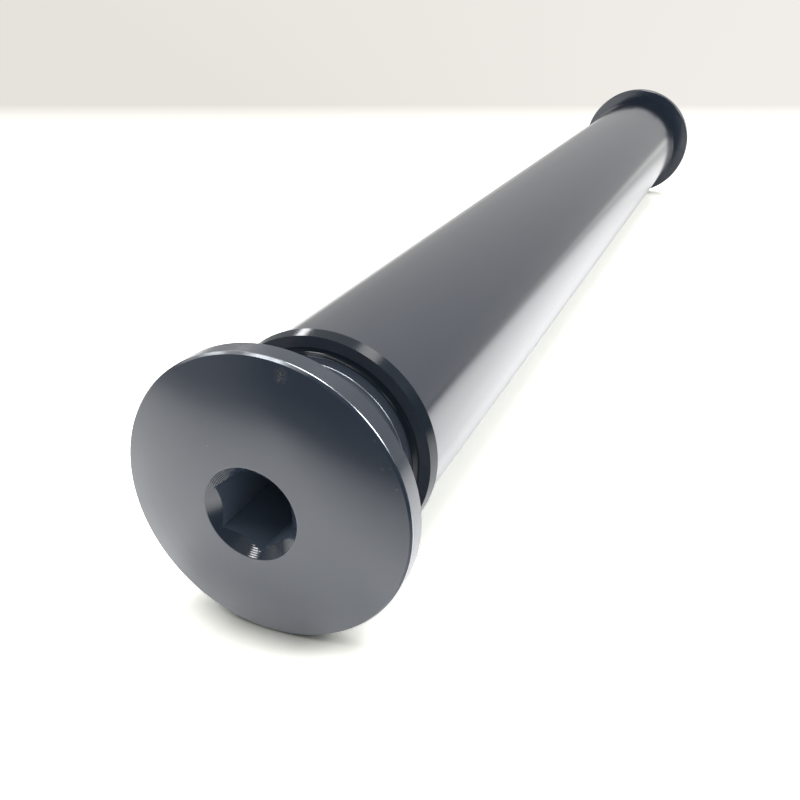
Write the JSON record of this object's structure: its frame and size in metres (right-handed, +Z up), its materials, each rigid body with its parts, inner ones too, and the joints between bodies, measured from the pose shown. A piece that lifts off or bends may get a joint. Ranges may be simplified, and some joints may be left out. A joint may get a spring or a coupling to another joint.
{
  "type": "bicycle thru axle",
  "caption": "Black bicycle thru axle: a turned tube with a lip at each end, and domed hex-socket bolts whose shoulders leave a necked seat next to each lip.",
  "frame": {"origin": "middle of the tube, on the axle's own axis", "axes": "+X along the axle towards its right end, +Z up as the axle lies, +Y across it"},
  "size_m": [0.154, 0.02, 0.02],
  "materials": {
    "tube_anodised": "satin black anodised, turned",
    "bolt_anodised": "semi-gloss black anodised, turned"
  },
  "bodies": {
    "axle": {"axle_tube": "tube_anodised"},
    "left_bolt": {"left_head_bolt": "bolt_anodised"},
    "right_bolt": {"right_head_bolt": "bolt_anodised"}
  },
  "joints": [
    {"name": "left_bolt_travel", "type": "slide", "parent": "axle", "child": "left_bolt", "axis": [-1, 0, 0], "range_m": [0, 0.014]},
    {"name": "right_bolt_travel", "type": "slide", "parent": "axle", "child": "right_bolt", "axis": [1, 0, 0], "range_m": [0, 0.014]}
  ]
}
